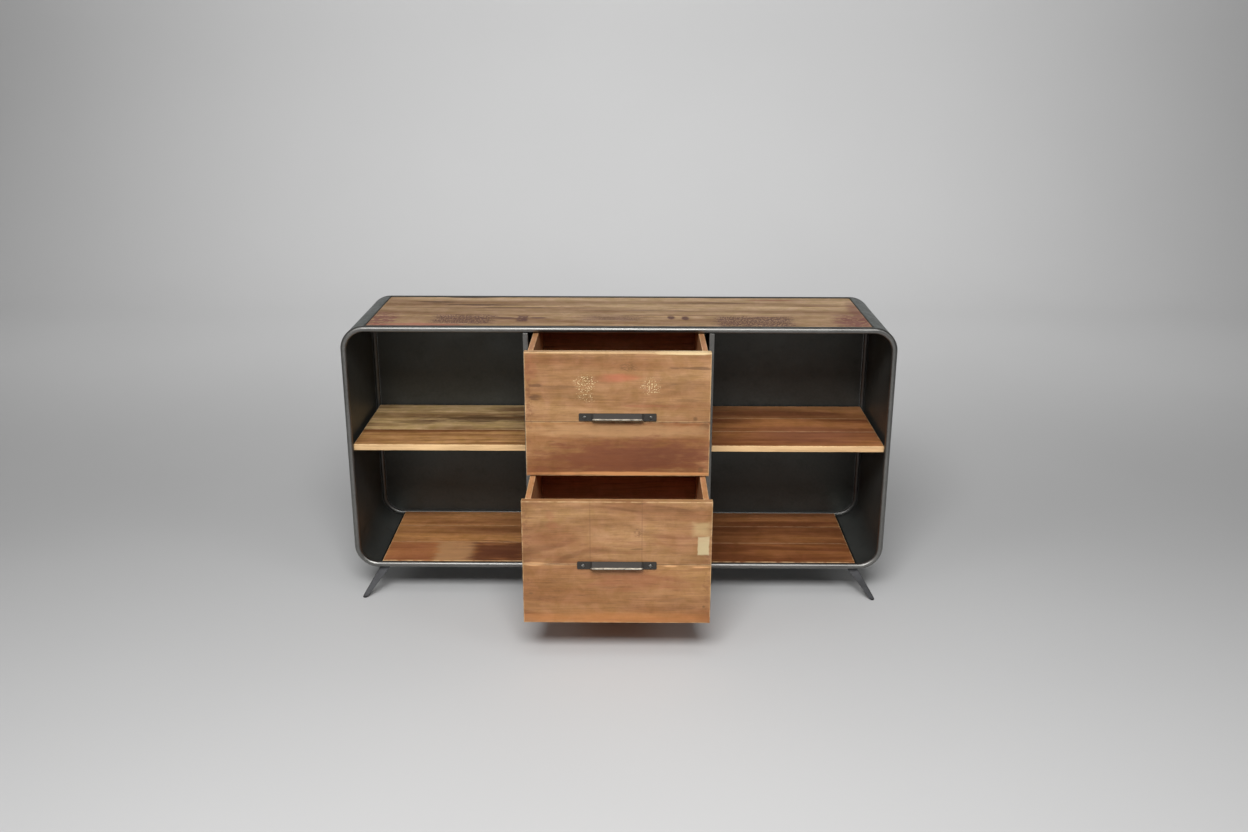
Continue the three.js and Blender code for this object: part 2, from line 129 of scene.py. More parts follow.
def board(
    shape, low, high, radius=1.6 * MM, step=30 * MM, warp=0.25 * MM, wear=0.5 * MM, seed=0, glued=(), **marks
):
    """A sawn board with eased edges, cut back where they wore, and faces that aren't quite flat. glued
    lists (axis, end) sides that meet the next board, which stay dark instead of being painted pale.
    The edge attribute is -1 in such a joint, 1 on a rounded edge, 0.6 beside it and 0 elsewhere; the
    wood materials paint the rounded edges pale, partly as wear and partly as a painted highlight."""
    radius = min(radius, 0.45 * min(high[i] - low[i] for i in range(3)))
    edge_band = 2.5 * MM
    wave, chip_wave = 14, 35  # per metre: the faces' slow waves, and the edges' worn places
    lines = [stops(low[i], high[i], radius, step, edge_band) for i in range(3)]
    last = [len(axis) - 1 for axis in lines]
    dice = random.Random(seed)
    shift = [dice.uniform(-20, 20) for _ in range(3)]
    ids, points, edges = {}, [], []

    def vertex(key):
        if key not in ids:
            at = Vector([lines[a][key[a]] for a in range(3)])
            core = Vector([min(max(at[a], low[a] + radius), high[a] - radius) for a in range(3)])
            out = at - core
            rounded = sum(1 for a in range(3) if abs(out[a]) > 1e-9) > 1
            near = sum(1 for a in range(3) if key[a] <= 2 or key[a] >= last[a] - 2) > 1
            joint = any(key[a] <= 1 if end < 0 else key[a] >= last[a] - 1 for a, end in glued)
            normal = out.normalized()
            where = at + Vector(shift)
            cut = warp * (0.5 + 0.5 * noise.noise(where * wave))
            if rounded:
                cut += wear * max(0.0, noise.noise(where * chip_wave) + 0.2)
            ids[key] = len(points)
            points.append(core + normal * (radius - cut))
            edges.append(-1.0 if joint else 1.0 if rounded else 0.6 if near else 0.0)
        return ids[key]

    faces = []
    for fixed in range(3):
        a, b = [axis for axis in range(3) if axis != fixed]
        for at in (0, last[fixed]):
            flip = (at == 0) == (fixed != 1)
            for i in range(last[a]):
                for j in range(last[b]):
                    quad = []
                    for di, dj in ((0, 0), (1, 0), (1, 1), (0, 1)):
                        key = [0, 0, 0]
                        key[fixed], key[a], key[b] = at, i + di, j + dj
                        quad.append(vertex(tuple(key)))
                    faces.append(quad[::-1] if flip else quad)
    shape.add(points, faces, edges, shift=shift, **marks)


def sweep(shape, rings, closed=False, edge=None):
    """Joins rings of points, each with the same count, and caps the ends of an open sweep."""
    count = len(rings[0])
    points = [p for ring in rings for p in ring]
    faces = []
    for i in range(len(rings) if closed else len(rings) - 1):
        a, b = i * count, ((i + 1) % len(rings)) * count
        for j in range(count):
            k = (j + 1) % count
            faces.append((a + j, a + k, b + k, b + j))
    if not closed:
        faces.append(tuple(range(count))[::-1])
        faces.append(tuple((len(rings) - 1) * count + j for j in range(count)))
    shape.add(points, faces, edge)


def rounded_rect(half_a, half_b, radius, steps):
    """Points round a rectangle with round corners, counter-clockwise, about (0, 0)."""
    points = []
    for quarter, (sa, sb) in enumerate(((1, 1), (-1, 1), (-1, -1), (1, -1))):
        for i in range(steps + 1):
            angle = (quarter + i / steps) * math.pi / 2
            a = sa * (half_a - radius) + radius * math.cos(angle)
            b = sb * (half_b - radius) + radius * math.sin(angle)
            points.append((a, b))
    return points


def refined(node, body, material, bevel=0.4 * MM, segments=2):
    """A CAD node again, with its sharp edges rounded over."""
    same_point, same_plane, sharp_from = 0.001 * MM, math.radians(1), math.radians(30)
    mesh = bmesh.new()
    mesh.from_mesh(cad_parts[node].data)
    bmesh.ops.remove_doubles(mesh, verts=mesh.verts, dist=same_point)
    bmesh.ops.dissolve_limit(mesh, angle_limit=same_plane, verts=mesh.verts, edges=mesh.edges)
    sharp = [e for e in mesh.edges if len(e.link_faces) == 2 and e.calc_face_angle() > sharp_from]
    bmesh.ops.bevel(
        mesh, geom=sharp, offset=bevel, segments=segments, profile=0.5, affect="EDGES", clamp_overlap=True
    )
    data = bpy.data.meshes.new(f"{node}_finished")
    mesh.to_mesh(data)
    mesh.free()
    return finish_piece(data, f"{node}_finished", body, material, [node])


# ------------------------------------------------------------------ node materials


def srgb(red, green, blue):
    """A colour given as 0 to 255 on a screen, as the linear values that sockets take."""

    def linear(value):
        value /= 255
        return value / 12.92 if value <= 0.04045 else ((value + 0.055) / 1.055) ** 2.4

    return (linear(red), linear(green), linear(blue), 1.0)


class Shader:
    """A material's node tree, built by short calls that each return an output socket."""

    def __init__(self, name):
        self.material = bpy.data.materials.new(name)
        self.material.use_nodes = True
        self.tree = self.material.node_tree
        self.bsdf = self.tree.nodes["Principled BSDF"]
        coords = self.node("ShaderNodeTexCoord")
        self.place = coords.outputs["Object"]
        self.normal = coords.outputs["Normal"]

    def node(self, kind, **settings):
        made = self.tree.nodes.new(kind)
        for key, value in settings.items():
            setattr(made, key, value)
        return made

    def feed(self, socket, value):
        if isinstance(value, bpy.types.NodeSocket):
            self.tree.links.new(value, socket)
        else:
            socket.default_value = value

    def math(self, operation, a, b=0.0, clamp=False):
        made = self.node("ShaderNodeMath", operation=operation, use_clamp=clamp)
        self.feed(made.inputs[0], a)
        self.feed(made.inputs[1], b)
        return made.outputs[0]

    def vector(self, operation, a, b=(0, 0, 0)):
        made = self.node("ShaderNodeVectorMath", operation=operation)
        self.feed(made.inputs[0], a)
        self.feed(made.inputs[1], b)
        return made.outputs["Value"] if operation in ("DOT_PRODUCT", "LENGTH") else made.outputs[0]

    def split(self, vector):
        made = self.node("ShaderNodeSeparateXYZ")
        self.feed(made.inputs[0], vector)
        return made.outputs

    def join(self, x, y, z):
        made = self.node("ShaderNodeCombineXYZ")
        for socket, value in zip(made.inputs, (x, y, z)):
            self.feed(socket, value)
        return made.outputs[0]

    def noise(self, vector, scale=1.0, detail=3.0, roughness=0.55, distortion=0.0):
        made = self.node("ShaderNodeTexNoise")
        self.feed(made.inputs["Vector"], vector)
        self.feed(made.inputs["Scale"], scale)
        self.feed(made.inputs["Detail"], detail)
        self.feed(made.inputs["Roughness"], roughness)
        self.feed(made.inputs["Distortion"], distortion)
        return made.outputs[0]

    def smooth(self, value, low, high, out_low=0.0, out_high=1.0):
        made = self.node("ShaderNodeMapRange", interpolation_type="SMOOTHSTEP")
        for socket, number in zip(made.inputs[:5], (value, low, high, out_low, out_high)):
            self.feed(socket, number)
        return made.outputs[0]

    def mix(self, factor, a, b, blend="MIX"):
        made = self.node("ShaderNodeMix", data_type="RGBA", blend_type=blend)
        self.feed(made.inputs[0], factor)
        self.feed(made.inputs[6], a)
        self.feed(made.inputs[7], b)
        return made.outputs[2]

    def attribute(self, name, output="Fac"):
        return self.node("ShaderNodeAttribute", attribute_name=name).outputs[output]

    def bump(self, height, distance, strength):
        made = self.node("ShaderNodeBump")
        self.feed(made.inputs["Strength"], strength)
        self.feed(made.inputs["Distance"], distance)
        self.feed(made.inputs["Height"], height)
        self.tree.links.new(made.outputs[0], self.bsdf.inputs["Normal"])


# Pale colour of the boards' rounded edges: partly wear, partly a painted highlight.
RUBBED_EDGE_AND_HIGHLIGHT = srgb(232, 200, 150)
GRAIN = {  # for each way the grain can run: that axis, then the two across it
    "x": ((1, 0, 0), (0, 1, 0), (0, 0, 1)),
    "y": ((0, 1, 0), (1, 0, 0), (0, 0, 1)),
}


def patch(s, along, across, blotch, wobble):
    """How strongly a blotch covers a place: an ellipse or box with a ragged, soft edge."""
    (at_a, at_c), (size_a, size_c) = blotch["at"], blotch["size"]
    a = s.math("DIVIDE", s.math("SUBTRACT", along, at_a), size_a)
    c = s.math("DIVIDE", s.math("SUBTRACT", across, at_c), size_c)
    if blotch["box"]:
        away = s.math("MAXIMUM", s.math("ABSOLUTE", a), s.math("ABSOLUTE", c))
    else:
        away = s.vector("LENGTH", s.join(a, c, 0.0))
    ragged = 2 * blotch["ragged"]
    away = s.math("ADD", away, s.math("MULTIPLY", s.math("SUBTRACT", wobble, 0.5), ragged))
    soft = blotch["soft"]
    amount = s.smooth(away, 1.0 + soft, 1.0 - soft, 0.0, blotch["strength"])
    if blotch["flecks"]:
        run, thick, low, high = blotch["flecks"]
        where = s.join(s.math("MULTIPLY", along, run), s.math("MULTIPLY", across, thick), 0.0)
        grains = s.noise(where, 1.0, 2.0)
        amount = s.math("MULTIPLY", amount, s.smooth(grains, low, high))
    return amount


def wood(
    name,
    light,
    dark,
    grain="x",
    across_axis=1,
    rings=70.0,
    ring_strength=0.35,
    streak_strength=0.45,
    contrast=1.0,
    bands=(1.3, 11.0),
    spots=(),
    edge_strength=0.6,
    front_highlight=None,
    roughness=0.5,
):
    """Lacquered reclaimed wood. Its colour runs along the grain in bands, rings, fibres, streaks and
    pores, under soft clouds and the listed spots. Noise scales are waves per metre: along the grain,
    then across it. The front edge colour is a painted highlight, given to faces that point forwards
    towards the lamps."""
    s = Shader(name)
    xyz = s.split(s.place)
    shifted = s.vector("ADD", s.place, s.attribute("shift", "Vector"))
    along, side_a, side_b = [s.vector("DOT_PRODUCT", shifted, axis) for axis in GRAIN[grain]]

    def stretched(run, thick):
        across_a, across_b = s.math("MULTIPLY", side_a, thick), s.math("MULTIPLY", side_b, thick)
        return s.join(s.math("MULTIPLY", along, run), across_a, across_b)

    band = s.noise(stretched(*bands), 1.0, 3.0, 0.55, 0.6)
    wander = s.noise(stretched(1.6, 5.0), 1.0, 2.0)
    across = s.math("ADD", side_a, side_b)
    ring = s.math("ADD", s.math("MULTIPLY", across, rings), s.math("MULTIPLY", wander, 9.0))
    ring = s.smooth(s.math("SINE", s.math("MULTIPLY", ring, 2 * math.pi)), 0.1, 1.0)
    ring = s.math("MULTIPLY", ring, s.smooth(s.noise(stretched(3.0, 20.0), 1.0, 2.0), 0.35, 0.7))
    fibres = s.noise(stretched(9.0, 420.0), 1.0, 3.0, 0.6)
    pores = s.smooth(s.noise(stretched(28.0, 900.0), 1.0, 1.0), 0.62, 0.75)
    streaks = s.smooth(s.noise(stretched(5.0, 95.0), 1.0, 4.0, 0.62, 0.3), 0.52, 0.72)
    mottle = s.noise(s.vector("ADD", s.place, (3.1, 1.7, 5.2)), 26.0, 5.0, 0.65, 0.4)

    # Figure of the grain
    spread = s.math("MULTIPLY", s.math("SUBTRACT", band, 0.5), 2.4 * contrast)
    level = s.math("ADD", s.math("ADD", spread, 0.45), s.attribute("tone"), clamp=True)
    colour = s.mix(level, light, dark)
    colour = s.mix(1.0, colour, s.attribute("tint", "Color"), "MULTIPLY")
    colour = s.mix(s.math("MULTIPLY", ring, ring_strength), colour, s.mix(0.75, colour, dark, "MULTIPLY"))
    thread = s.smooth(fibres, 0.25, 0.75, 0.86, 1.1)
    colour = s.mix(1.0, colour, s.join(thread, thread, thread), "MULTIPLY")
    colour = s.mix(s.math("MULTIPLY", streaks, streak_strength), colour, s.mix(0.8, colour, dark, "MULTIPLY"))
    cloud = s.smooth(mottle, 0.25, 0.75, 0.84, 1.13)
    colour = s.mix(1.0, colour, s.join(cloud, cloud, s.math("MULTIPLY", cloud, cloud)), "MULTIPLY")
    colour = s.mix(s.math("MULTIPLY", pores, 0.35), colour, srgb(52, 32, 20))

    # Stains and paint
    where_a, where_c = xyz["xyz".index(grain)], xyz[across_axis]
    wobble = s.noise(stretched(14.0, 60.0), 1.0, 4.0, 0.6)
    for blotch in spots:
        amount = patch(s, where_a, where_c, blotch, wobble)
        colour = s.mix(amount, colour, blotch["colour"])

    # End grain, a painted highlight on forward-facing faces, pale edges that are partly wear and partly a
    # painted highlight, and dark joints
    end = s.smooth(s.math("ABSOLUTE", s.vector("DOT_PRODUCT", s.normal, GRAIN[grain][0])), 0.6, 0.9)
    colour = s.mix(s.math("MULTIPLY", end, 0.5), colour, s.mix(0.7, colour, dark, "MULTIPLY"))
    if front_highlight is not None:
        # Painted highlight: faces that point forwards, towards the lamps, are painted paler.
        facing = s.smooth(s.math("MULTIPLY", s.split(s.normal)[1], -1.0), 0.55, 0.85, 0.0, 0.85)
        streak = s.smooth(s.noise(stretched(5.0, 60.0), 1.0, 2.0), 0.35, 0.65)
        colour = s.mix(facing, colour, s.mix(streak, front_highlight, s.mix(0.35, front_highlight, dark)))
    # Rounded edges are painted pale in patches: partly wear, partly a painted highlight.
    wear_and_painted_light = s.smooth(s.noise(s.place, 45.0, 3.0), 0.3, 0.6)
    mark = s.attribute("edge")
    bright = s.math("MULTIPLY", s.math("MAXIMUM", mark, 0.0), s.math("MULTIPLY", wear_and_painted_light, edge_strength))
    colour = s.mix(bright, colour, RUBBED_EDGE_AND_HIGHLIGHT)
    groove = s.math("MULTIPLY", s.math("MAXIMUM", s.math("MULTIPLY", mark, -1.0), 0.0), 0.55, clamp=True)
    colour = s.mix(groove, colour, s.mix(0.6, dark, srgb(40, 26, 18)))

    s.feed(s.bsdf.inputs["Base Color"], colour)
    s.feed(s.bsdf.inputs["Roughness"], s.smooth(band, 0.2, 0.8, roughness - 0.08, roughness + 0.1))
    s.feed(s.bsdf.inputs["Specular IOR Level"], 0.35)
    relief = s.math("SUBTRACT", s.math("MULTIPLY", fibres, 0.5), s.math("MULTIPLY", pores, 0.9))
    relief = s.math("SUBTRACT", relief, s.math("MULTIPLY", ring, 0.35))
    s.bump(relief, 0.6 * MM, 0.5)
    return s.material


def steel(name, colour, metallic, roughness, mottle, grime=None, wear_and_painted_light=None, dent=0.0, relief=0.35):
    """Dark steel under clear lacquer: cloudy tone, grime in soft patches, and a paler colour in patches
    where the mesh's edge attribute says so. That paler colour is painted light: a painted highlight on
    the pull's lip, and a lighter, lit outside on the side sheets over a speckle."""
    s = Shader(name)
    cloud = s.noise(s.place, 9.0, 5.0, 0.6, 0.3)
    fine = s.noise(s.place, 130.0, 4.0, 0.6)
    tint = s.smooth(cloud, 0.25, 0.75, 1.0 - mottle, 1.0 + mottle)
    tint = s.math("MULTIPLY", tint, s.smooth(fine, 0.2, 0.8, 0.9, 1.1))
    shade = s.mix(1.0, colour, s.join(tint, tint, tint), "MULTIPLY")
    if grime is not None:
        dirt = s.smooth(s.noise(s.place, 22.0, 6.0, 0.7, 0.5), 0.52, 0.72, 0.0, 0.5)
        shade = s.mix(dirt, shade, grime)
    if wear_and_painted_light is not None:
        patches = s.smooth(s.noise(s.place, 55.0, 6.0, 0.75), 0.25, 0.7)
        shade = s.mix(s.math("MULTIPLY", s.attribute("edge"), patches), shade, wear_and_painted_light)
    rough = s.smooth(cloud, 0.2, 0.8, roughness - 0.07, roughness + 0.1)
    rough = s.math("ADD", rough, s.smooth(fine, 0.3, 0.8, -0.03, 0.05))
    s.feed(s.bsdf.inputs["Base Color"], shade)
    s.feed(s.bsdf.inputs["Metallic"], metallic)
    s.feed(s.bsdf.inputs["Roughness"], rough)
    height = fine
    if dent:
        hammered = s.node("ShaderNodeTexVoronoi", feature="SMOOTH_F1")
        s.feed(hammered.inputs["Vector"], s.place)
        s.feed(hammered.inputs["Scale"], 150.0)
        height = s.math("ADD", s.math("MULTIPLY", fine, 0.3), s.math("MULTIPLY", hammered.outputs[0], dent))
    s.bump(height, 0.4 * MM, relief)
    return s.material


def rubber(name):
    s = Shader(name)
    speck = s.noise(s.place, 400.0, 3.0)
    s.feed(s.bsdf.inputs["Base Color"], s.mix(s.smooth(speck, 0.3, 0.7), srgb(26, 26, 26), srgb(46, 45, 44)))
    s.feed(s.bsdf.inputs["Roughness"], s.smooth(speck, 0.2, 0.8, 0.75, 0.92))
    s.bump(speck, 0.3 * MM, 0.5)
    return s.material


# ------------------------------------------------------------------ steel and rubber finishes

RIM = steel("rim_steel", srgb(126, 125, 122), 1.0, 0.42, 0.08, srgb(116, 115, 112), relief=0.08)
# Painted shade: a darker, duller copy of the rim steel for the back rim.
SHADED_BACK_RIM = steel("back_rim_steel_shaded", srgb(104, 104, 102), 0.9, 0.45, 0.10, srgb(90, 90, 88), relief=0.1)
CASE = steel("case_steel", srgb(82, 84, 81), 0.8, 0.48, 0.12, srgb(68, 70, 67))
# Paler patches on the side sheets' outer face: partly speckle, partly painted light on the lit outside.
SHELL = steel("shell_steel", srgb(88, 90, 87), 0.7, 0.46, 0.14, srgb(72, 74, 71), wear_and_painted_light=srgb(124, 129, 126))
LEG = steel("leg_steel", srgb(94, 94, 96), 0.9, 0.5, 0.2, srgb(48, 48, 48), dent=1.6)
# The pale colour on the pull's lip is a painted highlight along its lower edge.
PULL = steel("handle_steel", srgb(50, 46, 42), 0.15, 0.66, 0.15, srgb(42, 39, 36), wear_and_painted_light=srgb(216, 208, 190))
SCREW = steel("screw_steel", srgb(120, 118, 114), 1.0, 0.4, 0.15, srgb(70, 66, 62))
ZINC = steel("zinc", srgb(190, 192, 195), 1.0, 0.3, 0.08)
PAD = rubber("pad_rubber")

# ------------------------------------------------------------------ wood finishes

TAN, TAN_DARK = srgb(173, 131, 89), srgb(137, 90, 54)
GREYED, GREYED_DARK = srgb(206, 172, 132), srgb(146, 111, 78)
BROWN, BROWN_DARK = srgb(202, 148, 96), srgb(128, 82, 50)
STREAKED, STREAKED_DARK = srgb(214, 182, 132), srgb(128, 92, 58)
PURPLE, PLUM, RUST = srgb(92, 58, 50), srgb(122, 72, 64), srgb(150, 88, 62)
CREAM, PALE, SMUDGE, RED = srgb(236, 214, 166), srgb(196, 172, 124), srgb(112, 80, 50), srgb(196, 104, 80)
DARK_GRAIN = srgb(78, 52, 36)
FLECKS = (280.0, 280.0, 0.56, 0.63)
CROSS_HATCH = (230.0, 70.0, 0.30, 0.62)
FINE_HATCH = (420.0, 130.0, 0.34, 0.56)


def spot(
    x, across, half_x, half_across, colour, strength, box=False, ragged=0.8, soft=0.4, flecks=None
):
    """A blotch on a board, where across is y on a level board and z on a drawer front. flecks breaks
    it up: waves per metre along and across the grain, and the noise levels it fades in between."""
    return {
        "at": (x, across), "size": (half_x, half_across), "colour": colour, "strength": strength,
        "box": box, "ragged": ragged, "soft": soft, "flecks": flecks,
    }


TOP_SPOTS = [
    spot(-0.427, 0.087, 0.084, 0.052, PURPLE, 0.95, box=True, ragged=0.5, soft=0.2, flecks=CROSS_HATCH),
    spot(-0.316, 0.101, 0.040, 0.010, PURPLE, 0.7, ragged=1.2),
    spot(-0.266, 0.095, 0.015, 0.036, PURPLE, 0.95, box=True, ragged=0.4, flecks=(150.0, 90.0, 0.3, 0.5)),
    spot(-0.224, 0.104, 0.026, 0.010, PURPLE, 0.8),
    spot(-0.017, 0.105, 0.078, 0.032, PURPLE, 0.7, box=True, ragged=0.9, soft=0.5, flecks=FINE_HATCH),
    spot(0.144, 0.116, 0.010, 0.022, PURPLE, 0.95, ragged=0.5),
    spot(0.183, 0.108, 0.010, 0.024, PURPLE, 0.95, ragged=0.5),
    spot(0.372, 0.066, 0.102, 0.064, PURPLE, 0.95, box=True, ragged=0.4, soft=0.15, flecks=CROSS_HATCH),
    spot(0.650, 0.077, 0.056, 0.085, PLUM, 0.9, flecks=(60.0, 60.0, 0.3, 0.5)),
    spot(0.676, 0.215, 0.026, 0.090, PLUM, 0.6),
    spot(-0.655, 0.080, 0.042, 0.080, PLUM, 0.85, flecks=(70.0, 70.0, 0.35, 0.55)),
    spot(-0.560, 0.020, 0.120, 0.016, srgb(168, 92, 78), 0.6, ragged=1.2),
    spot(-0.440, 0.362, 0.060, 0.009, DARK_GRAIN, 0.9, ragged=1.0),
    spot(-0.518, 0.304, 0.060, 0.008, DARK_GRAIN, 0.85, ragged=1.4),
    spot(-0.405, 0.267, 0.120, 0.008, DARK_GRAIN, 0.8, ragged=1.5),
    spot(-0.300, 0.230, 0.120, 0.007, DARK_GRAIN, 0.5, ragged=1.6),
    spot(0.250, 0.300, 0.130, 0.008, DARK_GRAIN, 0.45, ragged=1.6),
    spot(0.080, 0.200, 0.110, 0.006, DARK_GRAIN, 0.4, ragged=1.6),
    spot(0.446, 0.337, 0.060, 0.008, RUST, 0.6),
    # Dark strip along the top's front edge: painted shadow in the gap beside the front rim.
    spot(0.0, 0.009, 0.66, 0.006, SMUDGE, 0.55),
]
UPPER_SPOTS = [
    spot(-0.228, 0.660, 0.010, 0.110, srgb(120, 78, 50), 0.55, ragged=1.8, flecks=(90.0, 90.0, 0.45, 0.6)),
    spot(0.226, 0.590, 0.012, 0.012, SMUDGE, 0.6, ragged=1.8),
    spot(0.003, 0.571, 0.235, 0.018, srgb(206, 164, 118), 0.4),
    spot(0.035, 0.496, 0.225, 0.048, srgb(124, 72, 48), 0.85, soft=0.5, ragged=1.3),
    spot(0.110, 0.505, 0.100, 0.026, srgb(108, 62, 42), 0.6, soft=0.6, ragged=1.3),
    # Bright strip along the front's lower edge: painted highlight.
    spot(0.030, 0.455, 0.205, 0.0045, srgb(226, 160, 104), 0.8, ragged=0.7),
    spot(0.004, 0.715, 0.042, 0.010, RED, 0.45, ragged=0.9, soft=0.7),
    spot(-0.084, 0.692, 0.022, 0.028, CREAM, 0.9, ragged=1.6, flecks=FLECKS),
    spot(0.087, 0.692, 0.024, 0.017, CREAM, 0.85, ragged=1.4, flecks=FLECKS),
    # Pale strip along the front's top edge: painted highlight.
    spot(0.173, 0.780, 0.065, 0.0045, CREAM, 0.85),
    spot(-0.215, 0.694, 0.018, 0.007, DARK_GRAIN, 0.6, ragged=2.0),
    spot(-0.217, 0.660, 0.018, 0.008, DARK_GRAIN, 0.6, ragged=2.0),
    spot(0.200, 0.604, 0.006, 0.005, SMUDGE, 0.8, ragged=1.4),
    spot(-0.064, 0.772, 0.110, 0.006, SMUDGE, 0.35, flecks=(60.0, 200.0, 0.4, 0.55)),
    spot(0.025, 0.743, 0.022, 0.012, SMUDGE, 0.6, flecks=(150.0, 300.0, 0.42, 0.55)),
    spot(-0.146, 0.765, 0.030, 0.0035, SMUDGE, 0.35, ragged=1.6),
    spot(0.187, 0.741, 0.050, 0.0035, DARK_GRAIN, 0.55, ragged=1.8),
    # Pale strip along the whole top edge: painted highlight.
    spot(0.0, 0.780, 0.24, 0.0030, srgb(216, 178, 130), 0.55, ragged=0.8),
    spot(0.150, 0.700, 0.060, 0.020, SMUDGE, 0.25, ragged=1.8),
    spot(-0.120, 0.665, 0.090, 0.006, SMUDGE, 0.3, ragged=1.8),
    spot(0.216, 0.466, 0.006, 0.006, SMUDGE, 0.6, ragged=1.4),
    spot(-0.222, 0.730, 0.014, 0.040, RUST, 0.3, ragged=1.4),
    spot(-0.150, 0.690, 0.050, 0.004, SMUDGE, 0.4, ragged=1.8),
    spot(-0.160, 0.720, 0.040, 0.003, SMUDGE, 0.35, ragged=1.8),
    spot(0.185, 0.655, 0.040, 0.004, SMUDGE, 0.4, ragged=1.8),
    spot(0.060, 0.640, 0.060, 0.003, RUST, 0.4, ragged=1.8),
]
LOWER_SPOTS = [
    spot(-0.228, 0.330, 0.010, 0.110, srgb(120, 78, 50), 0.45, ragged=1.8, flecks=(90.0, 90.0, 0.45, 0.6)),
    spot(0.228, 0.235, 0.010, 0.110, srgb(120, 78, 50), 0.4, ragged=1.8, flecks=(90.0, 90.0, 0.45, 0.6)),
    spot(0.217, 0.327, 0.0145, 0.025, srgb(198, 182, 142), 0.8, box=True, ragged=0.25, soft=0.1),
    spot(0.210, 0.371, 0.020, 0.019, PALE, 0.5, box=True, ragged=0.9, soft=0.5),
    spot(0.053, 0.362, 0.010, 0.011, SMUDGE, 0.6, flecks=(150.0, 300.0, 0.42, 0.6)),
    spot(0.051, 0.317, 0.016, 0.0025, SMUDGE, 0.6),
    spot(-0.207, 0.276, 0.026, 0.005, srgb(222, 168, 118), 0.7),
    spot(0.135, 0.271, 0.015, 0.003, srgb(222, 168, 118), 0.7),
    spot(0.213, 0.269, 0.020, 0.002, srgb(222, 168, 118), 0.7),
    spot(0.060, 0.232, 0.110, 0.024, RUST, 0.45, soft=0.7, ragged=1.4),
    spot(-0.120, 0.330, 0.110, 0.030, RUST, 0.25, soft=0.7, ragged=1.6),
    spot(0.150, 0.345, 0.070, 0.028, RUST, 0.25, soft=0.7, ragged=1.6),
    spot(0.110, 0.425, 0.120, 0.006, SMUDGE, 0.3, ragged=1.8),
    spot(-0.130, 0.420, 0.080, 0.005, SMUDGE, 0.3, ragged=1.8),
    spot(0.003, 0.124, 0.240, 0.016, srgb(204, 132, 74), 0.4, soft=0.7),
    spot(0.221, 0.159, 0.004, 0.004, SMUDGE, 0.8),
    spot(-0.218, 0.194, 0.006, 0.003, SMUDGE, 0.6),
    spot(-0.165, 0.400, 0.014, 0.022, RUST, 0.3, ragged=1.6),
    spot(-0.067, 0.362, 0.0012, 0.086, SMUDGE, 0.4, box=True, ragged=0.3, soft=0.6),
    spot(0.063, 0.362, 0.0012, 0.086, SMUDGE, 0.36, box=True, ragged=0.3, soft=0.6),
]
SHELF_SPOTS = [
    spot(-0.400, 0.235, 0.150, 0.030, srgb(84, 58, 36), 0.8, soft=0.6, ragged=1.8),
    spot(-0.600, 0.200, 0.060, 0.014, srgb(100, 70, 44), 0.6, soft=0.6, ragged=1.6),
    spot(-0.330, 0.320, 0.060, 0.010, srgb(106, 74, 48), 0.5, ragged=1.6),
    spot(0.544, 0.099, 0.150, 0.070, srgb(160, 104, 80), 0.4, soft=0.8),
]
FLOOR_SPOTS = [
    spot(-0.606, 0.065, 0.072, 0.062, RUST, 0.45, box=True),
    spot(-0.475, 0.068, 0.055, 0.064, srgb(188, 146, 104), 0.65, box=True, ragged=0.5, soft=0.25),
    spot(-0.349, 0.068, 0.075, 0.066, srgb(90, 48, 34), 0.8, box=True),
    spot(-0.480, 0.102, 0.010, 0.022, RUST, 0.6, flecks=FLECKS),
]

TOP = wood(
    "top_wood", GREYED, GREYED_DARK, across_axis=1, rings=60.0, ring_strength=0.3, spots=TOP_SPOTS,
    edge_strength=0.3, roughness=0.58, contrast=1.15, streak_strength=0.65,
)
UPPER_FRONT = wood(
    "front_wood_upper", TAN, TAN_DARK, across_axis=2, rings=26.0, ring_strength=0.2, spots=UPPER_SPOTS,
    bands=(2.2, 14.0), contrast=1.25, streak_strength=0.3,
)
LOWER_FRONT = wood(
    "front_wood_lower", TAN, TAN_DARK, across_axis=2, rings=22.0, ring_strength=0.5, spots=LOWER_SPOTS,
    bands=(2.0, 11.0), contrast=1.3, streak_strength=0.28,
)
# Painted highlight for the shelves' forward-facing edges.
SHELF_FRONT_HIGHLIGHT = srgb(240, 202, 150)
SHELF = wood(
    "shelf_wood", BROWN, BROWN_DARK, spots=SHELF_SPOTS, contrast=1.2, ring_strength=0.2,
    front_highlight=SHELF_FRONT_HIGHLIGHT,
)
STREAKED_SHELF = wood(
    "shelf_wood_streaked", STREAKED, STREAKED_DARK, spots=SHELF_SPOTS, contrast=1.6, ring_strength=0.2,
    bands=(2.4, 30.0), front_highlight=SHELF_FRONT_HIGHLIGHT,
)
FLOORING = wood(
    "floor_wood", BROWN, BROWN_DARK, spots=FLOOR_SPOTS, contrast=0.95, ring_strength=0.15,
    streak_strength=0.3, bands=(2.0, 18.0),
)
DRAWER = wood("drawer_wood", srgb(206, 142, 98), srgb(158, 100, 66), contrast=0.8, edge_strength=0.4)
DRAWER_SIDE = wood(
    "drawer_side_wood", srgb(204, 150, 104), srgb(158, 106, 70), grain="y", contrast=0.8,
    edge_strength=0.6,
)

# ------------------------------------------------------------------ case


